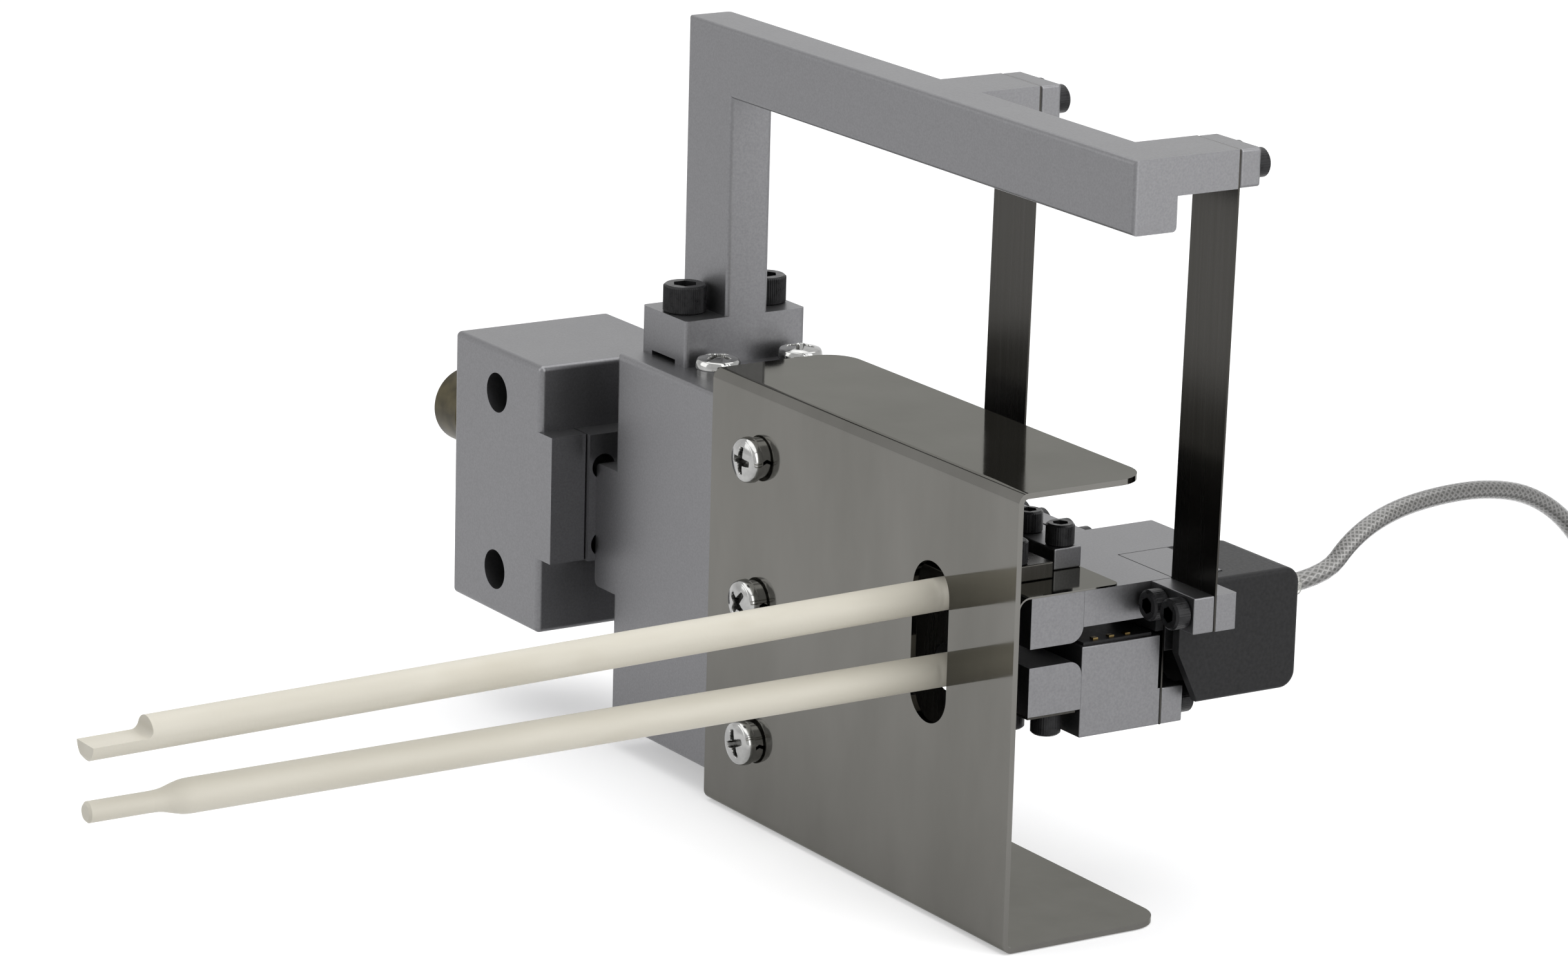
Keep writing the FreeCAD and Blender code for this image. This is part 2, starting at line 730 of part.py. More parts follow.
def low_leaf():
    """The flat leaf that closes the lower rod's groove from below."""
    z1 = lower_clamp_z0 - contact_gap
    body = box(gauge_x0 + 0.6, gauge_x1 - 0.6, gauge_front + 0.4, arm_front - 0.6, z1 - leaf_t * 2, z1)
    for x, y in low_screw_places():
        body = body.cut(rod("z", low_screw[2] + 2 * slip_gap, (x, y, z1 - 2), 3))
    return body


def flexure():
    """The thin upright leaf that joins the two arms and lets them open."""
    body = box(flexure_x0, gauge_x1, flexure_y0, flexure_y1, lower_z0, upper_z0)
    for x, y, z in rear_screw_seats():
        body = body.cut(rod("y", small_screw[2] + 2 * slip_gap, (x, flexure_y0 - 1, z), flexure_t + 2))
    return body


def upper_flexure_pad():
    """The block behind the leaf's upper end, under the upper arm."""
    body = box(flexure_x0, gauge_x1, flexure_y1, flexure_y1 + flexure_pad_t, upper_z0 - flexure_pad_h, upper_z0)
    return soften(body, 0.3)


def flexure_clip():
    """The strip that holds the leaf's upper end against its block."""
    return box(flexure_x0, gauge_x1, flexure_y0 - flexure_clip_t, flexure_y0, upper_z0 - flexure_clip_h, upper_z0)


def lower_arm():
    """The tall lower arm block, set back behind the leaf's free length."""
    body = box(gauge_x0, gauge_x1, arm_front, lower_back, lower_z0, lower_top)
    body = soften(body, edge_break / 2)
    relief = box(gauge_x0 - 1, gauge_x1 + 1, lower_back - flexure_relief, lower_back + 1, rear_plate_z1, lower_top + 1)
    body = body.cut(relief)
    depth = rear_screw_grip() - rear_plate_t - flexure_t + 1
    for x, y, z in rear_screw_seats():
        body = body.cut(rod("y", small_screw[2] + 2 * bore_play, (x, lower_back - depth, z), depth + 1))
    return body


def rear_plate():
    """The plate that clamps the leaf's lower end to the back of the lower arm."""
    y0 = flexure_y1
    body = box(flexure_x0, gauge_x1, y0, y0 + rear_plate_t, lower_z0, rear_plate_z1)
    body = soften(body, edge_break / 2)
    for x, y, z in rear_screw_seats():
        body = body.cut(rod("y", small_screw[2] + 2 * slip_gap, (x, y0 - 1, z), rear_plate_t + 2))
    return body


def rear_screw_seats():
    y = flexure_y1 + rear_plate_t
    z = (lower_z0 + rear_plate_z1) / 2
    return [(flexure_x0 + rear_screw_inset, y, z), (gauge_x1 - rear_screw_inset, y, z)]


def rear_screw_grip():
    return rear_plate_t + flexure_t + 5.0


def terminal_strip():
    """The dark board on top of the lower arm, in the gap between the arms."""
    z0 = lower_top
    return box(gauge_x0 + board_inset, gauge_x1 - board_inset, arm_front + board_inset, board_y1, z0, z0 + board_t)


def solder_pads():
    """The gold pads along the board's free side."""
    z0 = lower_top + board_t
    x1 = gauge_x1 - 2 * board_inset
    ys = [board_y1 - solder_start - solder_pitch * i for i in range(solder_count)]
    return group([box(x1 - solder_size, x1, y - solder_size, y, z0, z0 + solder_rise) for y in ys])


def transducer_cover():
    """The black cover behind the arms, with a pocket in front for the leaf's clamps."""
    arm_z = upper_z0 - slip_gap
    outline = [(cover_front_top, cover_top), (cover_back, cover_top), (cover_back, cover_z0), (cover_foot_y, cover_z0),
               (cover_nose_y, cover_nose_z), (cover_nose_y, arm_z), (cover_front_top, arm_z)]
    body = profile([(cover_x0, y, z) for y, z in outline], "x", cover_w)
    back_edges = [e for e in body.Edges if runs_along(e, "x") and middle(e).y > cover_back - 0.1]
    body = body.makeFillet(cover_corner_r, back_edges)
    side_edges = [e for e in body.Edges if not runs_along(e, "x") and middle(e).x > cover_x1 - 0.1
                  and middle(e).y > cover_front_top]
    body = body.makeFillet(cover_edge_r, side_edges)
    pocket = box(cover_x0 + cover_wall, cover_x1 - cover_wall, cover_nose_y - 1, cover_nose_y + cover_pocket,
                 cover_z0 - 1, arm_z + 1)
    body = body.cut(pocket)
    saddle_y1 = strap_y1 + arm_slot_len + seam
    body = body.cut(box(cover_x0 - 1, gauge_x1 + seam, cover_nose_y - 1, saddle_y1, arm_z, cover_top + 1))
    tail_x1 = gauge_x1 - arm_slot_x + seam
    body = body.cut(box(cover_x0 - 1, tail_x1, cover_nose_y - 1, upper_tail + slip_gap, arm_z, cover_top + 1))
    return body.cut(rod("y", grommet_d(), (cable_x, cover_back - cover_bore, cable_z), cover_bore + 1))


def sleeve_d():
    return cable_d + 2 * sleeve_wall


def grommet_bore():
    """Wide enough for the sleeve to slide while the gauge swings."""
    return sleeve_d() + 2 * cable_play


def grommet_d():
    return grommet_bore() + 2 * grommet_wall


def cable_grommet():
    """The ring in the cover's back wall that the cable passes through."""
    length = cover_wall + grommet_out
    start = (cable_x, cover_back - cover_wall, cable_z)
    return rod("y", grommet_d(), start, length).cut(rod("y", grommet_bore(), start, length))


def cable_sleeve():
    """The clear sleeve on the cable's first stretch."""
    start = (cable_x, cover_back - sleeve_in, cable_z)
    length = sleeve_in + sleeve_out
    return rod("y", sleeve_d(), start, length).cut(rod("y", cable_d, start, length))


# The cable's route from inside the cover to the coil. It goes straight out, rises
# in a hump, comes down behind the gauge and runs along the floor into the coil.
route = [(cable_x, cover_back - sleeve_in, cable_z), (cable_x, 70.2, cable_z), (cable_x - 0.5, 76.2, 60.6),
         (cable_x - 1.4, 85.0, 64.2), (cable_x - 3.0, 96.5, 65.2), (cable_x - 4.8, 109.0, 64.6),
         (cable_x - 6.8, 121.5, 61.4), (cable_x - 9.0, 133.0, 53.6), (cable_x - 11.8, 142.5, 41.6),
         (cable_x - 14.8, 150.5, 27.2), (cable_x - 18.4, 158.0, 12.8), (cable_x - 22.4, 167.0, 3.2),
         (cable_x - 28.2, 176.4, 1.7), (cable_x - 32.4, 183.7, 1.65)]
coil_centre = (-20.0, 198.0)
outer_turn_r = (coil_mid_d + coil_w) / 2 - cable_d / 2
plug_start = (coil_centre[0] + outer_turn_r + cable_d + seam, coil_centre[1] - plug_tail_len)


def cable_tube():
    """The free run of the cable: straight runs joined by tangent arcs."""
    points = [V(*p) for p in route]
    edges = []
    last = points[0]
    radii = []
    for before, here, after in zip(points, points[1:], points[2:]):
        to_last = (before - here).normalize()
        to_next = (after - here).normalize()
        turn = math.pi - to_last.getAngle(to_next)
        cut_back = 0.45 * min((before - here).Length, (after - here).Length)
        radius = cut_back / math.tan(turn / 2)
        radii.append(round(radius, 1))
        start = here + to_last * cut_back
        end = here + to_next * cut_back
        inward = (to_last + to_next).normalize()
        centre = here + inward * (radius / math.cos(turn / 2))
        mid = centre - inward * radius
        edges.append(Part.LineSegment(last, start).toShape())
        edges.append(Part.Arc(start, mid, end).toShape())
        last = end
    edges.append(Part.LineSegment(last, points[-1]).toShape())
    path = Part.Wire(edges)
    ring = Part.Wire([Part.makeCircle(cable_d / 2, points[0], points[1] - points[0])])
    solid = path.makePipeShell([ring], True, False)
    section = math.pi * cable_d ** 2 / 4
    print("cable radii", radii, "length", round(path.Length, 1), "volume ratio", round(solid.Volume / section / path.Length, 4))
    return solid


def cable_coil():
    """The put-away length of the cable as one ring."""
    x, y = coil_centre
    outer = coil_mid_d / 2 + coil_w / 2
    inner = coil_mid_d / 2 - coil_w / 2
    ring = Part.makeCylinder(outer, coil_h, V(x, y, 0)).cut(Part.makeCylinder(inner, coil_h + 2, V(x, y, -1)))
    return ring.makeFillet(coil_w * 0.3, [e for e in ring.Edges if isinstance(e.Curve, Part.Circle)])


def connector():
    """A round screw-on connector that lies beside the coil."""
    x = plug_start[0]
    y = plug_start[1] - plug_tail_len
    z = plug_nut_d / 2
    body = rod("y", plug_d, (x, y - plug_len, z), plug_len)
    nut = rod("y", plug_nut_d, (x, y - plug_len - 2, z), plug_nut_len)
    nut = soften(nut, 0.8)
    tail = Part.makeCone(plug_d / 2 - 1, cable_d / 2 + 0.8, plug_tail_len, V(x, y, z), AX["y"])
    bore = rod("y", plug_d - 3, (x, y - plug_len - 3, z), 8)
    return body.fuse([nut, tail]).cut(bore)


def group(solids):
    """Separate solids that share one node."""
    return Part.makeCompound(solids)


def build():
    """Every piece under its node name."""
    web_seats = [(web_screw_x, 0, z) for z in web_screw_heights()]
    top_seats = [(x, y, upright_z1) for x, y in top_screw_places()]
    foot_seats = [(x, y, foot_z1) for x, y in foot_screw_places()]
    top_clamp_back = strap_y1 + lug_t
    nodes = {
        "mounting_block": mounting_block(),
        "slide_plate": slide_plate(),
        "clamp_knob": clamp_knob(),
        "upright_body": upright(),
        "heat_shield": heat_shield(),
        "web_screws": group([pan_screw(s, (0, -1, 0)) for s in web_seats]),
        "web_washers": group([split_washer(s, (0, -1, 0)) for s in web_seats]),
        "top_screws": group([pan_screw(s, (0, 0, 1)) for s in top_seats]),
        "top_washers": group([split_washer(s, (0, 0, 1)) for s in top_seats]),
        "support_arm": support_arm(),
        "foot_screws": group([socket_screw(foot_screw, s, (0, 0, 1), foot_screw_grip()) for s in foot_seats]),
        "upper_clamp_left": upper_strap_clamp(strap_left_x0),
        "upper_clamp_right": upper_strap_clamp(strap_right_x0),
        "upper_clamp_screws": group([socket_screw(upper_screw, (x, top_clamp_back, cross_mid_z()), (0, 1, 0),
                                                  lug_t + strap_t + 5) for x in upper_strap_screw_xs()]),
        "strap_left": strap(strap_left_x0, lower_left_screw_xs()[:2]),
        "strap_right": strap(strap_right_x0, lower_right_screw_xs()),
        "right_strap_lug": lug(lug_right_x0, lug_right_x1, strap_y0 - lug_t, strap_y0,
                               lower_right_screw_xs(), small_screw[2] + 2 * slip_gap),
        "right_saddle": saddle(),
        "right_lug_screws": group([socket_screw(small_screw, (x, strap_y0 - lug_t, lug_mid_z()), (0, -1, 0),
                                                lug_t + strap_t + 4) for x in lower_right_screw_xs()]),
        "left_strap_bar": lug(lug_left_x0, lug_left_x1, strap_y0 - lug_t, strap_y0,
                              lower_left_screw_xs(), small_screw[2] + 2 * bore_play),
        "left_rear_bar": lug(lug_left_x0, lug_left_x1, strap_y1, strap_y1 + lug_t,
                             lower_left_screw_xs(), small_screw[2] + 2 * slip_gap),
        "left_bar_screws": group([socket_screw(small_screw, (x, strap_y1 + lug_t, lug_mid_z()), (0, 1, 0),
                                               lug_t + strap_t + 4) for x in lower_left_screw_xs()]),
        "upper_arm": upper_arm(),
        "upper_rod_clamp": rod_clamp(upper_clamp_z0, upper_top, True, upper_rod_z, upper_top + 1),
        "upper_rod": ceramic_upper_rod(),
        "hold_leaf": hold_leaf(),
        "press_pad": press_pad(),
        "clamp_bar": clamp_bar(),
        "press_pad_screws": leaf_screws(press_pad_places(), pad_screw, pad_h),
        "clamp_bar_screws": leaf_screws(clamp_bar_places(), bar_screw, bar_h),
        "flexure_leaf": flexure(),
        "upper_flexure_pad": upper_flexure_pad(),
        "flexure_clip": flexure_clip(),
        "transducer_cover": transducer_cover(),
        "cable_grommet": cable_grommet(),
        "lower_arm": lower_arm(),
        "lower_rod_clamp": rod_clamp(lower_clamp_z0, lower_clamp_top, False, lower_rod_z, lower_clamp_z0 - 1),
        "lower_rod": ceramic_lower_rod(),
        "low_leaf": low_leaf(),
        "low_leaf_screws": group([socket_screw(low_screw, (x, y, lower_clamp_z0 - contact_gap - 2 * leaf_t), (0, 0, -1),
                                               clamp_thread - slip_gap) for x, y in low_screw_places()]),
        "rear_plate": rear_plate(),
        "rear_plate_screws": group([socket_screw(small_screw, s, (0, 1, 0), rear_screw_grip())
                                    for s in rear_screw_seats()]),
        "terminal_strip": terminal_strip(),
        "solder_pads": solder_pads(),
        "cable_sleeve": cable_sleeve(),
        "cable_tube": cable_tube(),
        "cable_coil": cable_coil(),
        "cable_connector": connector(),
    }
    return nodes


cord_names = ("cable_sleeve", "cable_tube", "cable_coil", "cable_connector")


def main():
    nodes = build()
    own = Part.makeCompound([shape for name, shape in nodes.items() if name not in cord_names])
    low = own.BoundBox
    shift = V(-(low.XMin + low.XMax) / 2, -(low.YMin + low.YMax) / 2, 0)
    print("shift", tuple(round(v, 3) for v in shift), "size", round(low.XLength, 2), round(low.YLength, 2), round(low.ZLength, 2))
    for name, shape in nodes.items():
        moved = shape.copy()
        moved.translate(shift)
        moved.exportStep(f"parts/{name}.step")


main()
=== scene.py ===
# %% [markdown]
# A clip-on displacement gauge: two ceramic rods reach through a polished heat
# shield, and the small gauge behind it hangs from a machined arm on two spring
# straps. The rigid parts come from the CAD model. This scene gives each of them
# its finish and replaces the small pieces that deserve finer modelling.

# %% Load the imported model
import json
import math

import bmesh
import bpy
from mathutils import Matrix, Vector


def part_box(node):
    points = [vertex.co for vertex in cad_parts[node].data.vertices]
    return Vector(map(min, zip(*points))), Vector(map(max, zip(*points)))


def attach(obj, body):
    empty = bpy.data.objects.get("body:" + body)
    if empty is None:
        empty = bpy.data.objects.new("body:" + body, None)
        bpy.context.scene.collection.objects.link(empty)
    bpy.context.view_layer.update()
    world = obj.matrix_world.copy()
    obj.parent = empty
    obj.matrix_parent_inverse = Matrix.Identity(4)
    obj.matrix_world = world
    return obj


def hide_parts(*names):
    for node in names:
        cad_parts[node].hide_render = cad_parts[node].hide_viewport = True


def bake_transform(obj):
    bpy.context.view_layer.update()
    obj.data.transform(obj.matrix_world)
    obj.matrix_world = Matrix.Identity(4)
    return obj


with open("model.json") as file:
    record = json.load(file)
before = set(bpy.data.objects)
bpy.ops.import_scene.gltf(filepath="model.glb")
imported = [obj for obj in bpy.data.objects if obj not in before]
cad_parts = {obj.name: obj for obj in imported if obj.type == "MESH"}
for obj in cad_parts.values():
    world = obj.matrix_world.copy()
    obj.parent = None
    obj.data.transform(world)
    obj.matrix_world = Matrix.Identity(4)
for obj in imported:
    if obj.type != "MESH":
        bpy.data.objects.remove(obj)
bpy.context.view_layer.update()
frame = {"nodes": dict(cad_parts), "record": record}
MM = 0.001

# %% [markdown]
# Every place is counted as in the CAD source: X from the shield's free right
# edge, Y from the front of its web and Z from the table, in millimetres. One
# helper turns such a place into a point of the frame, in metres, and one turns
# it back.

# %% Places counted from the heat shield
shield_low, shield_high = (Vector(c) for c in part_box("heat_shield"))
corner = Vector((shield_high.x, shield_low.y, shield_low.z))


def at(x, y, z):
    """A point of the frame from its millimetre place at the shield."""
    return corner + Vector((x, y, z)) * MM


def millimetres(point):
    """A frame point as its millimetre place at the shield."""
    return (Vector(point) - corner) / MM


print("shield corner", [round(v, 4) for v in corner])

# %% [markdown]
# The camera stands where the photograph was taken from, about 0.9 m away with a
# long lens. Its azimuth and elevation give a right and an up direction, and the
# small roll turns both about the line of sight.

# %% Camera at the photograph's angle
azimuth = math.radians(57.188)
elevation = math.radians(15.152)
roll = math.radians(1.527)
camera_place = (789.286, -554.854, 341.299)
side = Vector((math.cos(azimuth), math.sin(azimuth), 0))
back = Vector((
    math.sin(azimuth) * math.cos(elevation),
    -math.cos(azimuth) * math.cos(elevation),
    math.sin(elevation),
))
over = back.cross(side)
right = math.cos(roll) * side + math.sin(roll) * over
up = -math.sin(roll) * side + math.cos(roll) * over

lens = bpy.data.cameras.new("photo_camera")
lens.sensor_width = 36
lens.lens = 139.87
lens.clip_end = 20
camera = bpy.data.objects.new("photo_camera", lens)
place = Matrix((right, up, back)).transposed().to_4x4()
place.translation = at(*camera_place)
camera.matrix_world = place
bpy.context.collection.objects.link(camera)
bpy.context.scene.camera = camera
bpy.context.scene.view_settings.view_transform = "Standard"

# %% [markdown]
# The cable is a soft shielded lead in a clear jacket. It comes straight out of
# the cover, springs up in a low hump, comes down behind the gauge and is wound
# into a put-away coil. One smooth spline follows the route and then the turns.
# The turns go row by row, from the outside in and back out, and the last one
# slips outwards and down to the connector.

# %% Cable route and coil turns
cable_d = 3.3
cable_x = -8.0
cover_back = 60.6
sleeve_in = 2.2
route = [
    (cable_x, cover_back - sleeve_in, 54.3), (cable_x, 70.2, 54.3), (cable_x - 0.5, 76.2, 60.6),
    (cable_x - 1.4, 85.0, 64.2), (cable_x - 3.0, 96.5, 65.2), (cable_x - 4.8, 109.0, 64.6),
    (cable_x - 6.8, 121.5, 61.4), (cable_x - 9.0, 133.0, 53.6), (cable_x - 11.8, 142.5, 41.6),
    (cable_x - 14.8, 150.5, 27.2), (cable_x - 18.4, 158.0, 12.8), (cable_x - 22.4, 167.0, 3.2),
    (cable_x - 28.2, 176.4, 1.7),
]
coil_centre = (-20.0, 198.0)
turn_gap = 3.4
outer_r = 25.15
rows = 4
columns = 4
turn_points = 16
step_share = 0.25
full_turn = 2 * math.pi
entry_angle = math.radians(215)


def coil_points():
    """The turns of the put-away coil, clockwise from the entry angle."""
    slots = []
    for row in range(rows):
        order = range(columns) if row % 2 == 0 else range(columns - 1, -1, -1)
        slots += [(outer_r - turn_gap * column, cable_d / 2 + turn_gap * row) for column in order]
    steps = int(len(slots) * turn_points + turn_points * entry_angle / full_turn) - turn_points
    points = []
    for i in range(steps + 1):
        swept = full_turn * i / turn_points
        turn = min(int(swept / full_turn), len(slots) - 1)
        share = swept / full_turn - turn
        near, far = slots[turn], slots[min(turn + 1, len(slots) - 1)]
        change = max(0.0, (share - 1 + step_share) / step_share) if turn < len(slots) - 1 else 0.0
        r = near[0] + (far[0] - near[0]) * change
        z = near[1] + (far[1] - near[1]) * change
        angle = entry_angle - swept
        points.append((coil_centre[0] + r * math.cos(angle), coil_centre[1] + r * math.sin(angle), z))
    return points


turns = coil_points()
print("coil points", len(turns))


# %% [markdown]
# The spline is a NURBS of order three, so it cuts softly inside the corners of
# its control points and stays on the table.

# %% One spline for the whole cable
def nurbs_curve(name, points, radius):
    """A round cord along a smooth open spline through millimetre places."""
    data = bpy.data.curves.new(name, "CURVE")
    data.dimensions = "3D"
    data.bevel_depth = 1.0
    data.bevel_resolution = 4
    data.resolution_u = 6
    data.use_fill_caps = True
    spline = data.splines.new("NURBS")
    spline.points.add(len(points) - 1)
    for point, p in zip(spline.points, points):
        point.co = (*at(*p), 1)
        point.radius = radius * MM
    spline.order_u = 3
    spline.use_endpoint_u = True
    obj = bpy.data.objects.new(name, data)
    bpy.context.collection.objects.link(obj)
    return obj


plug_low, plug_high = (millimetres(c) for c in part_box("cable_connector"))
plug_middle = (plug_low + plug_high) / 2
plug_overlap = 3.0
tail = [
    (plug_middle.x, plug_high.y + plug_overlap, plug_middle.z),
    (plug_middle.x, plug_high.y - plug_overlap, plug_middle.z),
]
cable = nurbs_curve("cable", route + turns + tail, cable_d / 2)
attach(cable, "mount")
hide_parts("cable_tube", "cable_coil")


def cord_length(obj):
    """The length of a curve's own line, in metres."""
    bare = obj.data.copy()
    bare.bevel_depth = 0
    twin = bpy.data.objects.new("measure", bare)
    mesh = bpy.data.meshes.new_from_object(twin)
    length = sum((mesh.vertices[a].co - mesh.vertices[b].co).length for a, b in (e.vertices for e in mesh.edges))
    bpy.data.objects.remove(twin)
    bpy.data.meshes.remove(mesh)
    return length


cable_length = cord_length(cable)
print("cable length", round(cable_length, 3))

# %% [markdown]
# The photograph has a white table with only a faint shadow. The floor is lit
# softly and lifted to white for camera, mirror and glass rays, so that the metal
# shows that white too. The lift is weak near the gauge, where the shadow stays,
# and grows outwards, where no lamp reaches.

# %% Node helpers
def new_material(name):
    """An empty material with its output and its node tree."""
    material = bpy.data.materials.new(name)
    material.use_nodes = True
    material.node_tree.nodes.clear()
    return material, material.node_tree


def add(tree, kind, **values):
    """A node with its input sockets set by name."""
    node = tree.nodes.new(kind)
    for key, value in values.items():
        node.inputs[key.replace("_", " ")].default_value = value
    return node


def shader(tree, **values):
    """The surface shader, linked to the output."""
    node = add(tree, "ShaderNodeBsdfPrincipled", **values)
    out = tree.nodes.new("ShaderNodeOutputMaterial")
    tree.links.new(node.outputs[0], out.inputs["Surface"])
    return node


def object_noise(tree, scale, detail=4.0, stretch=(1, 1, 1), roughness=0.5):
    """Noise on the piece's own coordinates, stretched along its axes."""
    coords = tree.nodes.new("ShaderNodeTexCoord")
    mapping = tree.nodes.new("ShaderNodeMapping")
    mapping.inputs["Scale"].default_value = stretch
    noise = tree.nodes.new("ShaderNodeTexNoise")
    noise.inputs["Scale"].default_value = scale
    noise.inputs["Detail"].default_value = detail
    noise.inputs["Roughness"].default_value = roughness
    tree.links.new(coords.outputs["Object"], mapping.inputs["Vector"])
    tree.links.new(mapping.outputs[0], noise.inputs["Vector"])
    return noise


def ramp(tree, source, low, high, start=0.3, end=0.7):
    """A two colour ramp on a grey value."""
    node = tree.nodes.new("ShaderNodeValToRGB")
    node.color_ramp.elements[0].position = start
    node.color_ramp.elements[1].position = end
    node.color_ramp.elements[0].color = low
    node.color_ramp.elements[1].color = high
    tree.links.new(source, node.inputs[0])
    return node


def span(tree, source, low, high, start=0.3, end=0.7):
    """A number that follows a grey value between two limits."""
    node = tree.nodes.new("ShaderNodeMapRange")
    node.inputs["From Min"].default_value = start
    node.inputs["From Max"].default_value = end
    node.inputs["To Min"].default_value = low
    node.inputs["To Max"].default_value = high
    tree.links.new(source, node.inputs["Value"])
    return node


def bump(tree, source, height, target, strength):
    """A fine relief on a shader from a grey value, its height in metres."""
    node = tree.nodes.new("ShaderNodeBump")
    node.inputs["Strength"].default_value = strength
    node.inputs["Distance"].default_value = height
    tree.links.new(source, node.inputs["Height"])
    tree.links.new(node.outputs[0], target.inputs["Normal"])
    return node


# %% Floor, seen white by the camera
def joined_rays(tree, path, *outputs):
    """One where any of these kinds of ray looks, else zero."""
    last = path.outputs[outputs[0]]
    for name in outputs[1:]:
        both = tree.nodes.new("ShaderNodeMath")
        both.operation = "MAXIMUM"
        tree.links.new(last, both.inputs[0])
        tree.links.new(path.outputs[name], both.inputs[1])
        last = both.outputs[0]
    return last


def floor_material():
    material, tree = new_material("white_table")
    out = tree.nodes.new("ShaderNodeOutputMaterial")
    plain = add(tree, "ShaderNodeBsdfDiffuse", Color=(0.75, 0.75, 0.75, 1))
    bright = add(tree, "ShaderNodeBsdfDiffuse", Color=(0.75, 0.75, 0.75, 1))
    glow = add(tree, "ShaderNodeEmission", Color=(1, 1, 1, 1))
    coords = tree.nodes.new("ShaderNodeTexCoord")
    reach = tree.nodes.new("ShaderNodeVectorMath")
    reach.operation = "LENGTH"
    tree.links.new(coords.outputs["Object"], reach.inputs[0])
    lift = span(tree, reach.outputs["Value"], 0.36, 0.75, 0.35, 1.6)
    tree.links.new(lift.outputs[0], glow.inputs["Strength"])
    both = tree.nodes.new("ShaderNodeAddShader")
    tree.links.new(bright.outputs[0], both.inputs[0])
    tree.links.new(glow.outputs[0], both.inputs[1])
    path = tree.nodes.new("ShaderNodeLightPath")
    mix = tree.nodes.new("ShaderNodeMixShader")
    seen = joined_rays(tree, path, "Is Camera Ray", "Is Glossy Ray", "Is Transmission Ray")
    tree.links.new(seen, mix.inputs[0])
    tree.links.new(plain.outputs[0], mix.inputs[1])
    tree.links.new(both.outputs[0], mix.inputs[2])
    tree.links.new(mix.outputs[0], out.inputs["Surface"])
    return material


floor_half, floor_drop = 6.0, 0.0002


def floor():
    """The white table, a hair under the part so that no faces coincide."""
    bm = bmesh.new()
    bmesh.ops.create_grid(bm, x_segments=2, y_segments=2, size=floor_half)
    mesh = bpy.data.meshes.new("white_table")
    bm.to_mesh(mesh)
    bm.free()
    obj = bpy.data.objects.new("white_table", mesh)
    obj.location = (0, 0, shield_low.z - floor_drop)
    mesh.materials.append(floor_material())
    bpy.context.collection.objects.link(obj)
    return obj


floor()

# %% [markdown]
# Metal looks like what it mirrors, and here it mirrors the same white room that
# the camera sees, so each metal renders about as its colour is written. Matt
# pieces get a plain grey sky and three soft lamps: a large one above, one on the
# right for the end faces and a weak one from the front left.

# %% World and lamps
world = bpy.data.worlds.new("studio")
bpy.context.scene.world = world
world.use_nodes = True
tree = world.node_tree
tree.nodes.clear()
sky = add(tree, "ShaderNodeBackground", Color=(0.33, 0.33, 0.34, 1), Strength=1.0)
white = add(tree, "ShaderNodeBackground", Color=(1, 1, 1, 1), Strength=1.0)
path = tree.nodes.new("ShaderNodeLightPath")
mix = tree.nodes.new("ShaderNodeMixShader")
world_out = tree.nodes.new("ShaderNodeOutputWorld")
tree.links.new(joined_rays(tree, path, "Is Camera Ray", "Is Glossy Ray", "Is Transmission Ray"), mix.inputs[0])
tree.links.new(sky.outputs[0], mix.inputs[1])
tree.links.new(white.outputs[0], mix.inputs[2])
tree.links.new(mix.outputs[0], world_out.inputs["Surface"])


lamp_aim = (0, 0, 60)


def lamp(name, position, size, power):
    """A square soft lamp that looks at the middle of the gauge."""
    data = bpy.data.lights.new(name, "AREA")
    data.shape = "SQUARE"
    data.size = size
    data.energy = power
    obj = bpy.data.objects.new(name, data)
    obj.location = at(*position)
    aim = at(*lamp_aim) - obj.location
    obj.rotation_euler = aim.to_track_quat("-Z", "Y").to_euler()
    bpy.context.collection.objects.link(obj)
    return obj


lamp("top_softbox", (-50, 100, 900), 1.3, 9.0)
lamp("right_softbox", (900, 250, 450), 0.9, 8.0)
lamp("front_fill", (-500, -900, 500), 0.8, 3.5)

# %% [markdown]
# Most parts are aluminium that was machined and then lightly blasted: an even
# grey with a very fine grain and only soft reflections. Its roughness wanders a
# little from place to place.

# %% Machined aluminium
def aluminium():
    material, tree = new_material("machined_aluminium")
    surface = shader(tree, Metallic=1.0)
    grain = object_noise(tree, 2600, 2.0)
    cloud = object_noise(tree, 60, 3.0)
    tone = ramp(tree, grain.outputs["Fac"], (0.155, 0.155, 0.160, 1), (0.182, 0.182, 0.188, 1))
    rough = span(tree, cloud.outputs["Fac"], 0.36, 0.40)
    tree.links.new(tone.outputs[0], surface.inputs["Base Color"])
    tree.links.new(rough.outputs[0], surface.inputs["Roughness"])
    bump(tree, grain.outputs["Fac"], 0.00002, surface, 0.6)
    return material


# %% [markdown]
# The shield and the leaf on the clamp are bright rolled stainless sheet. They
# mirror the rods and the straps, with a slight waviness and faint rolling lines.

# %% Polished stainless sheet
def polished_sheet():
    material, tree = new_material("polished_sheet")
    surface = shader(tree, Metallic=1.0, Specular_Tint=(0.62, 0.62, 0.60, 1))
    smear = object_noise(tree, 38, 5.0, (1, 1, 0.35), 0.6)
    lines = object_noise(tree, 900, 2.0, (1, 1, 0.02))
    tone = ramp(tree, smear.outputs["Fac"], (0.135, 0.132, 0.122, 1), (0.170, 0.166, 0.155, 1))
    rough = span(tree, smear.outputs["Fac"], 0.04, 0.11)
    tree.links.new(tone.outputs[0], surface.inputs["Base Color"])
    tree.links.new(rough.outputs[0], surface.inputs["Roughness"])
    bump(tree, lines.outputs["Fac"], 0.000004, surface, 0.4)
    return material


# %% [markdown]
# The straps are dark rolled spring steel. Fine lines run along their length.

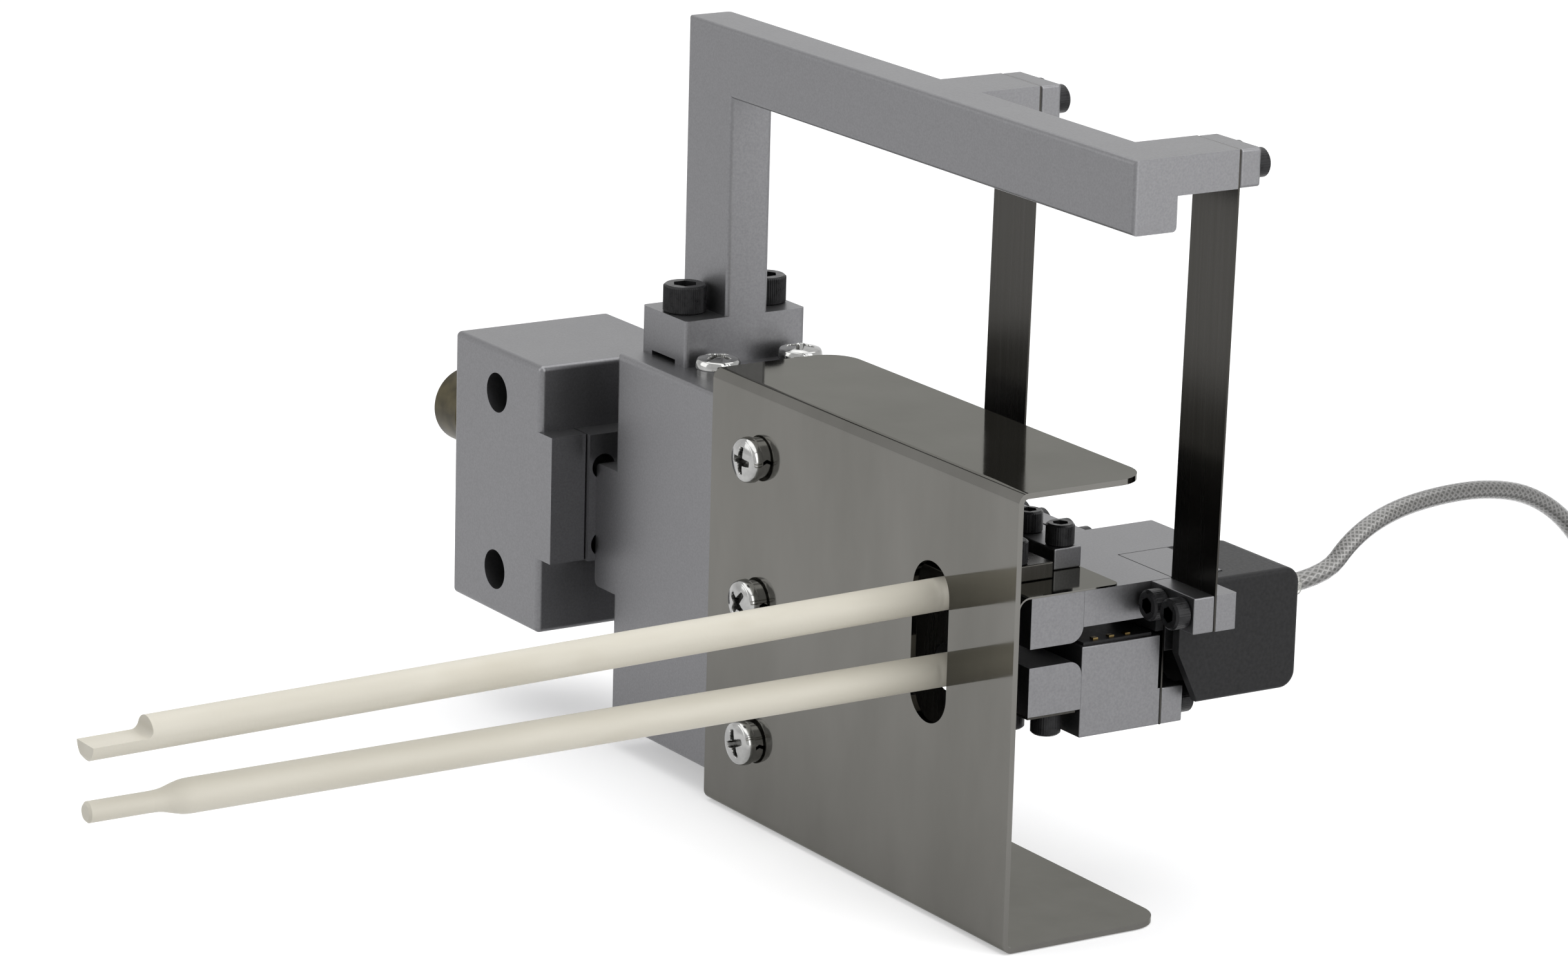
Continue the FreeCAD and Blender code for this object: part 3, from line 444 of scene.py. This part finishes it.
# %% Spring steel
def spring_steel():
    material, tree = new_material("spring_steel")
    surface = shader(tree, Metallic=1.0)
    lines = object_noise(tree, 1500, 3.0, (1, 1, 0.012))
    tone = ramp(tree, lines.outputs["Fac"], (0.042, 0.040, 0.036, 1), (0.050, 0.048, 0.044, 1))
    rough = span(tree, lines.outputs["Fac"], 0.26, 0.28)
    tree.links.new(tone.outputs[0], surface.inputs["Base Color"])
    tree.links.new(rough.outputs[0], surface.inputs["Roughness"])
    bump(tree, lines.outputs["Fac"], 0.000003, surface, 0.15)
    return material


# %% [markdown]
# Two black finishes: the satin anodised cover and the oxide on the cap screws, which is a little glossier on its
# edges. Here the screws are a little glossier all over, and the roughness of each wanders at random.

# %% Black finishes
def black_finish(name, low, high, rough_low, rough_high, grain_scale, metal):
    material, tree = new_material(name)
    surface = shader(tree, Metallic=metal, Specular_IOR_Level=0.15)
    grain = object_noise(tree, grain_scale, 3.0)
    tone = ramp(tree, grain.outputs["Fac"], (low, low, low * 1.05, 1), (high, high, high * 1.04, 1))
    rough = span(tree, grain.outputs["Fac"], rough_low, rough_high)
    tree.links.new(tone.outputs[0], surface.inputs["Base Color"])
    tree.links.new(rough.outputs[0], surface.inputs["Roughness"])
    bump(tree, grain.outputs["Fac"], 0.00001, surface, 0.5)
    return material


# %% [markdown]
# The shield's screws are nickel plated and shine, with tiny polishing marks.

# %% Bright plated screws
def plated_steel():
    material, tree = new_material("plated_steel")
    surface = shader(tree, Metallic=1.0)
    marks = object_noise(tree, 700, 3.0)
    tone = ramp(tree, marks.outputs["Fac"], (0.30, 0.30, 0.295, 1), (0.38, 0.38, 0.37, 1))
    rough = span(tree, marks.outputs["Fac"], 0.09, 0.15)
    tree.links.new(tone.outputs[0], surface.inputs["Base Color"])
    tree.links.new(rough.outputs[0], surface.inputs["Roughness"])
    return material


# %% [markdown]
# The rods are dense unglazed alumina, ivory and matt, with faint cloudy tones
# along them and a few darker smudges from handling.

# %% Ceramic rods
def ceramic():
    material, tree = new_material("ceramic")
    surface = shader(tree, Roughness=0.55)
    cloud = object_noise(tree, 90, 4.0, (1, 0.25, 1))
    smudge = object_noise(tree, 38, 3.0, (1, 0.5, 1))
    tone = ramp(tree, cloud.outputs["Fac"], (0.47, 0.445, 0.375, 1), (0.53, 0.505, 0.435, 1))
    stain = ramp(tree, smudge.outputs["Fac"], (0.86, 0.84, 0.80, 1), (1, 1, 1, 1), 0.24, 0.36)
    both = tree.nodes.new("ShaderNodeMixRGB")
    both.blend_type = "MULTIPLY"
    both.inputs[0].default_value = 1.0
    tree.links.new(tone.outputs[0], both.inputs[1])
    tree.links.new(stain.outputs[0], both.inputs[2])
    tree.links.new(both.outputs[0], surface.inputs["Base Color"])
    pores = object_noise(tree, 1800, 2.0)
    bump(tree, pores.outputs["Fac"], 0.00003, surface, 0.4)
    return material


# %% [markdown]
# The knob is brass with a dull passivated skin: greenish brown in the grooves and more yellow where hands rub it.
# Here its tone wanders at random between a dark and a more yellow brown.

# %% Brass knob and gold pads
def brass(name, dark, light, rough):
    material, tree = new_material(name)
    surface = shader(tree, Metallic=1.0, Roughness=rough)
    wear = object_noise(tree, 260, 4.0)
    tone = ramp(tree, wear.outputs["Fac"], dark, light, 0.35, 0.65)
    tree.links.new(tone.outputs[0], surface.inputs["Base Color"])
    bump(tree, wear.outputs["Fac"], 0.00003, surface, 0.5)
    return material


# %% [markdown]
# The cable's silver braid shows through a clear jacket. Two sets of slanted
# threads cross on the surface, and a coat of clear gloss lies over them. The
# pattern follows the cord's own length and girth.

# %% Cable jacket over braid
def braided_cable():
    material, tree = new_material("braided_cable")
    surface = shader(tree, Metallic=0.55, Roughness=0.3, Coat_Weight=0.8, Coat_Roughness=0.12)
    coords = tree.nodes.new("ShaderNodeTexCoord")
    heights = []
    for lean in (1, -1):
        mapping = tree.nodes.new("ShaderNodeMapping")
        mapping.inputs["Scale"].default_value = (1500, 6 * lean, 1)
        wave = tree.nodes.new("ShaderNodeTexWave")
        wave.bands_direction = "DIAGONAL"
        wave.inputs["Scale"].default_value = 1.0
        wave.inputs["Distortion"].default_value = 0.4
        tree.links.new(coords.outputs["UV"], mapping.inputs["Vector"])
        tree.links.new(mapping.outputs[0], wave.inputs["Vector"])
        heights.append(wave)
    both = tree.nodes.new("ShaderNodeMath")
    both.operation = "MAXIMUM"
    tree.links.new(heights[0].outputs["Fac"], both.inputs[0])
    tree.links.new(heights[1].outputs["Fac"], both.inputs[1])
    tone = ramp(tree, both.outputs[0], (0.035, 0.035, 0.031, 1), (0.14, 0.137, 0.132, 1), 0.4, 0.95)
    tree.links.new(tone.outputs[0], surface.inputs["Base Color"])
    bump(tree, both.outputs[0], 0.00012, surface, 0.6)
    return material


def clear_sleeve():
    material, tree = new_material("clear_sleeve")
    surface = shader(tree, Roughness=0.15, Base_Color=(0.92, 0.92, 0.88, 1), Transmission_Weight=0.85, IOR=1.4)
    haze = object_noise(tree, 500, 2.0)
    bump(tree, haze.outputs["Fac"], 0.00004, surface, 0.4)
    return material


# %% [markdown]
# Each record slot gets its finish, and every CAD node takes the material of its
# slot. The nodes keep their meshes, so only the slots change.

# %% Give every CAD node its material
finishes = {
    "machined_aluminium": aluminium(),
    "stainless_sheet": polished_sheet(),
    # This black is the cover's anodising, and on the terminal strip between the arms it is painted shade for the
    # dark gap between the plates.
    "black_cover": black_finish("anodised_cover_and_painted_shade", 0.010, 0.017, 0.40, 0.50, 1600, 0.1),
    "black_screws": black_finish("oxide_screws", 0.012, 0.022, 0.24, 0.38, 900, 0.35),
    "steel_screws": plated_steel(),
    "spring_steel": spring_steel(),
    "ceramic": ceramic(),
    "brass": brass("dull_brass", (0.036, 0.031, 0.018, 1), (0.070, 0.060, 0.034, 1), 0.42),
    "gold_strip": brass("gold_pads", (0.16, 0.11, 0.04, 1), (0.28, 0.21, 0.09, 1), 0.34),
    "cable": braided_cable(),
    "connector_shell": aluminium(),
}
sleeve_finish = clear_sleeve()
slots = {entry["node"]: entry["material_slot"] for entry in frame["record"]["subparts"]}


def paint(obj, material):
    """One material on every face of an object."""
    obj.data.materials.clear()
    obj.data.materials.append(material)


def finished_piece(bm, name, finish):
    """A bmesh in millimetres as a piece of the frame, in metres, with its finish."""
    mesh = bpy.data.meshes.new(name)
    bm.to_mesh(mesh)
    bm.free()
    mesh.transform(Matrix.Translation(corner) @ Matrix.Scale(MM, 4))
    obj = bpy.data.objects.new(name, mesh)
    bpy.context.collection.objects.link(obj)
    paint(obj, finishes[finish])
    return obj


for node, slot_name in slots.items():
    paint(frame["nodes"][node], finishes[slot_name])
paint(frame["nodes"]["cable_sleeve"], sleeve_finish)
paint(frame["nodes"]["hold_leaf"], finishes["stainless_sheet"])
paint(frame["nodes"]["press_pad"], finishes["spring_steel"])
paint(cable, finishes["cable"])
print("painted", len(slots), "nodes")

# %% [markdown]
# Cap screws have a knurled head with a small bevel at the top and a hexagon
# socket. A ring of alternating radii gives the knurl, extrusions carry it up,
# and the top is bridged to the hexagon, which then goes down.

# %% Knurled cap screw heads
large_head = 6.0
large_knurl = (0.1, 60)
small_knurl = (0.025, 40)
foot_inset, foot_rise = 0.3, 0.25
top_inset, top_drop = 0.4, 0.35
socket_floor = 0.45


def socket_head(bm, seat, direction, head_d, head_h, socket_w):
    """Add one knurled head that stands on its seat, in millimetres."""
    made = []
    knurl_depth, knurl_ribs = large_knurl if head_d > large_head else small_knurl
    segments = knurl_ribs * 2
    base = bmesh.ops.create_circle(bm, segments=segments, radius=head_d / 2 - foot_inset, cap_ends=True)["verts"]
    made += base
    ring = list({e for v in base for e in v.link_edges})

    def next_ring(edges, z, radius, knurled):
        grown = bmesh.ops.extrude_edge_only(bm, edges=edges)["geom"]
        verts = [g for g in grown if isinstance(g, bmesh.types.BMVert)]
        verts.sort(key=lambda v: math.atan2(v.co.y, v.co.x))
        for i, v in enumerate(verts):
            reach = radius - (knurl_depth if knurled and i % 2 else 0)
            flat = Vector((v.co.x, v.co.y)).normalized() * reach
            v.co = (flat.x, flat.y, z)
        made.extend(verts)
        return [g for g in grown if isinstance(g, bmesh.types.BMEdge)]

    ring = next_ring(ring, foot_rise, head_d / 2, True)
    ring = next_ring(ring, head_h - top_drop, head_d / 2, True)
    ring = next_ring(ring, head_h, head_d / 2 - top_inset, False)
    top = Matrix.Translation((0, 0, head_h))
    hexagon = bmesh.ops.create_circle(bm, segments=6, radius=socket_w / math.sqrt(3), matrix=top)["verts"]
    made += hexagon
    inner = list({e for v in hexagon for e in v.link_edges})
    bmesh.ops.bridge_loops(bm, edges=ring + inner)
    walls = bmesh.ops.extrude_edge_only(bm, edges=inner)["geom"]
    low = [g for g in walls if isinstance(g, bmesh.types.BMVert)]
    for v in low:
        v.co.z = head_h * socket_floor
    made += low
    bmesh.ops.edgeloop_fill(bm, edges=[g for g in walls if isinstance(g, bmesh.types.BMEdge)])
    turn = Vector((0, 0, 1)).rotation_difference(Vector(direction)).to_matrix().to_4x4()
    bmesh.ops.transform(bm, matrix=Matrix.Translation(Vector(seat)) @ turn, verts=list(set(made)))


def screw_set(node, body, seats, direction, head_d, head_h, socket_w):
    """All the heads of one CAD node as one piece."""
    bm = bmesh.new()
    for seat in seats:
        socket_head(bm, seat, direction, head_d, head_h, socket_w)
    bmesh.ops.recalc_face_normals(bm, faces=bm.faces)
    obj = finished_piece(bm, node + "_knurled", "black_screws")
    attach(obj, body)
    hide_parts(node)
    return obj


def seats_of(node, axis, sign, offsets, head_d, head_h):
    """Head seats from a node's box: the heads stand at its far end, spread along one axis."""
    low, high = (millimetres(c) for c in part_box(node))
    seats = []
    for dx, dy in offsets:
        seat = Vector((low.x + head_d / 2, low.y + head_d / 2, low.z + head_d / 2))
        if axis == "z":
            seat.z = high.z - head_h if sign > 0 else low.z + head_h
            seat += Vector((dx, dy, 0))
        else:
            seat.y = high.y - head_h if sign > 0 else low.y + head_h
            seat += Vector((dx, 0, dy))
        seats.append(seat)
    return seats


# Node, body, axis and side of the heads, their offsets, then diameter, height and socket.
foot_pitch = 17.1
strap_pitch = 57.4
pair_pitch = 6.2
screw_sets = [
    ("foot_screws", "mount", "z", 1, [(0, 0), (0, foot_pitch)], 7.9, 5.1, 4.0),
    ("upper_clamp_screws", "mount", "y", 1,
     [(0, 0), (pair_pitch, 0), (strap_pitch, 0), (strap_pitch + pair_pitch, 0)], 5.0, 2.7, 2.5),
    ("right_lug_screws", "gauge", "y", -1, [(0, 0), (6.1, 0)], 5.4, 3.0, 2.5),
    ("left_bar_screws", "gauge", "y", 1, [(0, 0), (pair_pitch, 0), (13.9, 0), (19.8, 0)], 5.4, 3.0, 2.5),
    ("clamp_bar_screws", "gauge", "z", 1, [(0, 0), (9.4, 0)], 5.0, 3.8, 2.5),
    ("press_pad_screws", "gauge", "z", 1, [(0, 0), (16.8, 0)], 5.0, 4.2, 2.5),
    ("low_leaf_screws", "lower", "z", -1, [(0, 3.4), (15.9, 0), (21.7, 3.4)], 5.2, 4.4, 2.5),
    ("rear_plate_screws", "lower", "y", 1, [(0, 0), (7.2, 0)], 5.4, 3.0, 2.5),
]
for node, body, axis, sign, offsets, head_d, head_h, socket_w in screw_sets:
    direction = (0, 0, sign) if axis == "z" else (0, sign, 0)
    screw_set(node, body, seats_of(node, axis, sign, offsets, head_d, head_h), direction, head_d, head_h, socket_w)
print("screw sets", len(screw_sets))

# %% [markdown]
# The shield's pan heads have a rounded rim and a cross recess whose four arms
# slope down to the middle. A line from the dome's middle to the foot is spun into
# a fine net, as on a lathe, and the recess is pressed into that net.

# %% Pan heads with a cross recess
pan_d = 8.2
pan_h = 2.35
pan_dome, pan_rim, pan_shoulder = 0.8, 1.5, 0.86
dome_rings, rim_rings = 30, 10
pan_segments = 120
recess_reach = 2.5
recess_width = 1.5
recess_depth = 1.9
recess_taper, wall_slope, end_slope = 0.3, 0.2, 0.5


def recess_at(x, y, turn):
    """How deep the cross recess is at a place of the head."""
    deepest = 0.0
    for quarter in (0, math.pi / 2):
        along = abs(x * math.cos(turn + quarter) + y * math.sin(turn + quarter))
        across = abs(y * math.cos(turn + quarter) - x * math.sin(turn + quarter))
        half_width = recess_width / 2 * (1 - recess_taper * along / recess_reach)
        wall = min(1.0, max(0.0, (half_width - across) / wall_slope))
        end = min(1.0, max(0.0, (recess_reach - along) / end_slope))
        deepest = max(deepest, wall * end * recess_depth)
    return deepest


def pan_profile():
    """The head's outline from its middle over the dome and the rim down to its foot."""
    half = pan_d / 2
    points = []
    for i in range(dome_rings):
        r = half * pan_shoulder * i / dome_rings
        points.append((r, pan_h - pan_dome * (r / half) ** 2))
    shoulder_z = pan_h - pan_dome * pan_shoulder ** 2
    for i in range(rim_rings + 1):
        swing = i / rim_rings * math.pi / 2
        r = half * (pan_shoulder + (1 - pan_shoulder) * math.sin(swing))
        points.append((r, shoulder_z - pan_rim * (1 - math.cos(swing))))
    return points + [(half, 0.0)]


def pan_head(bm, seat, direction, turn):
    """Add one head that stands on its seat, in millimetres."""
    old = set(bm.verts)
    line = [bm.verts.new((r, 0, z)) for r, z in pan_profile()]
    edges = [bm.edges.new(pair) for pair in zip(line, line[1:])]
    bmesh.ops.spin(bm, geom=line + edges, cent=(0, 0, 0), axis=(0, 0, 1), dvec=(0, 0, 0), angle=2 * math.pi,
                   steps=pan_segments, use_merge=True, use_duplicate=False)
    made = [v for v in bm.verts if v not in old]
    bmesh.ops.remove_doubles(bm, verts=made, dist=0.0001)
    made = [v for v in bm.verts if v not in old]
    foot = list({e for v in made for e in v.link_edges if e.is_boundary})
    pressed = set()
    for v in made:
        depth = recess_at(v.co.x, v.co.y, turn)
        v.co.z -= depth
        if depth > 0:
            pressed.add(v)
    for face in {f for v in made for f in v.link_faces}:
        face.smooth = pressed.isdisjoint(face.verts)
    bmesh.ops.edgeloop_fill(bm, edges=foot)
    spin = Vector((0, 0, 1)).rotation_difference(Vector(direction)).to_matrix().to_4x4()
    bmesh.ops.transform(bm, matrix=Matrix.Translation(Vector(seat)) @ spin, verts=made)


def pan_set(node, direction, seats):
    """All the pan heads of one CAD node as one piece, each recess at its own angle."""
    bm = bmesh.new()
    for i, seat in enumerate(seats):
        pan_head(bm, seat, direction, math.radians(20 + 33 * i))
    bmesh.ops.recalc_face_normals(bm, faces=bm.faces)
    obj = finished_piece(bm, node + "_heads", "steel_screws")
    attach(obj, "mount")
    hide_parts(node)
    return obj


washer_t = 1.0
web_low, web_high = (millimetres(c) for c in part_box("web_screws"))
top_low, top_high = (millimetres(c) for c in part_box("top_screws"))
web_x = (web_low.x + web_high.x) / 2
top_x = (top_low.x + top_high.x) / 2
web_zs = (web_low.z + pan_d / 2, (web_low.z + web_high.z) / 2, web_high.z - pan_d / 2)
top_ys = (top_low.y + pan_d / 2, top_high.y - pan_d / 2)
upright_top = 74.75
pan_set("web_screws", (0, -1, 0), [(web_x, -washer_t, z) for z in web_zs])
pan_set("top_screws", (0, 0, 1), [(top_x, y, upright_top + washer_t) for y in top_ys])

# %% [markdown]
# The straps and the flexure leaf bend when the gauge moves. Each is a thin strip with many cross lines, solidified
# to its sheet thickness and fixed in the frame.

# %% Bending strips
def strip(name, node, sheet, low_z, high_z, lean, cuts=40):
    """A thin upright strip in the box of its CAD node, with its lean at the lower end."""
    low, high = (millimetres(c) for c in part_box(node))
    width = high.x - low.x - lean
    bm = bmesh.new()
    bmesh.ops.create_grid(bm, x_segments=6, y_segments=cuts, size=0.5)
    bmesh.ops.rotate(bm, verts=bm.verts, matrix=Matrix.Rotation(math.pi / 2, 3, "X"))
    for v in bm.verts:
        share = v.co.z + 0.5
        z = low.z + share * (high.z - low.z)
        slide = min(1.0, max(0.0, (high_z - z) / (high_z - low_z)))
        v.co = (high.x - width + (v.co.x + 0.5) * width - lean * slide, (low.y + high.y) / 2, z)
    bmesh.ops.recalc_face_normals(bm, faces=bm.faces)
    bmesh.ops.solidify(bm, geom=bm.faces[:], thickness=sheet)
    centre = sum((v.co.y for v in bm.verts)) / len(bm.verts)
    bmesh.ops.translate(bm, verts=bm.verts, vec=(0, (low.y + high.y) / 2 - centre, 0))
    obj = finished_piece(bm, name, "spring_steel")
    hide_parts(node)
    return obj


clamp_under = 129.4
lug_over = 59.6
strap_slant = 1.2
for hand in ("left", "right"):
    band = strip("spring_strap_" + hand, "strap_" + hand, 0.35, lug_over, clamp_under, strap_slant)
    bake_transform(band)
leaf = strip("flexure_strip", "flexure_leaf", 0.3, 40.3, 46.7, 0.0, 24)
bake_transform(leaf)

# %% [markdown]
# The folded leaf of the clamp goes on down in front of both rod clamps. Its
# front leg has a notch that opens upwards for the upper rod and a round hole
# for the lower rod. Two loops are filled as one net and given the thickness.
# The CAD leaf ends at the leg's top, so this piece replaces nothing. It has the straps' darker finish in place of
# the leaf's polished sheet, as painted shade for the dark gap in front of the clamps.

# %% Front leg of the folded leaf
leg_left, leg_right = -37.2, -5.9
leg_top, leg_low = 54.82, 31.0
leg_front, leg_t = 4.8, 0.3
notch_left, notch_right, notch_low = -28.9, -20.7, 52.4
hole_x, hole_z, hole_r = -26.4, 42.6, 4.2
corner_r, notch_r = 2.0, 1.6


def arc(cx, cz, r, start, end, steps):
    """Places along an arc in the leg's plane, its angles in degrees."""
    angles = [math.radians(start + (end - start) * i / steps) for i in range(steps + 1)]
    return [(cx + r * math.cos(a), cz + r * math.sin(a)) for a in angles]


def filled_loops(bm, loops, y):
    """Fill closed loops at one Y, where an inner loop stays open."""
    edges = []
    for loop in loops:
        verts = [bm.verts.new((x, y, z)) for x, z in loop]
        edges += [bm.edges.new(pair) for pair in zip(verts, verts[1:] + verts[:1])]
    bmesh.ops.triangle_fill(bm, edges=edges, use_beauty=True)


def front_leg():
    """The leg as one piece that swings with the gauge."""
    outline = [(leg_right, leg_top), (notch_right, leg_top)]
    outline += arc(notch_right - notch_r, notch_low + notch_r, notch_r, 0, -90, 8)
    outline += arc(notch_left + notch_r, notch_low + notch_r, notch_r, -90, -180, 8)
    outline += [(notch_left, leg_top), (leg_left, leg_top)]
    outline += arc(leg_left + corner_r, leg_low + corner_r, corner_r, 180, 270, 8)
    outline += arc(leg_right - corner_r, leg_low + corner_r, corner_r, 270, 360, 8)
    hole = arc(hole_x, hole_z, hole_r, 0, 360, 64)[:-1]
    bm = bmesh.new()
    filled_loops(bm, [outline, hole], leg_front)
    bmesh.ops.recalc_face_normals(bm, faces=bm.faces)
    bmesh.ops.solidify(bm, geom=bm.faces[:], thickness=leg_t)
    middle = sum(v.co.y for v in bm.verts) / len(bm.verts)
    bmesh.ops.translate(bm, verts=bm.verts, vec=(0, leg_front + leg_t / 2 - middle, 0))
    # The dark spring-steel finish on the leg is painted shade, not the leaf's own sheet.
    obj = finished_piece(bm, "leaf_front_leg", "spring_steel")
    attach(obj, "gauge")
    return obj


front_leg()

# %% Update the scene
bpy.context.view_layer.update()
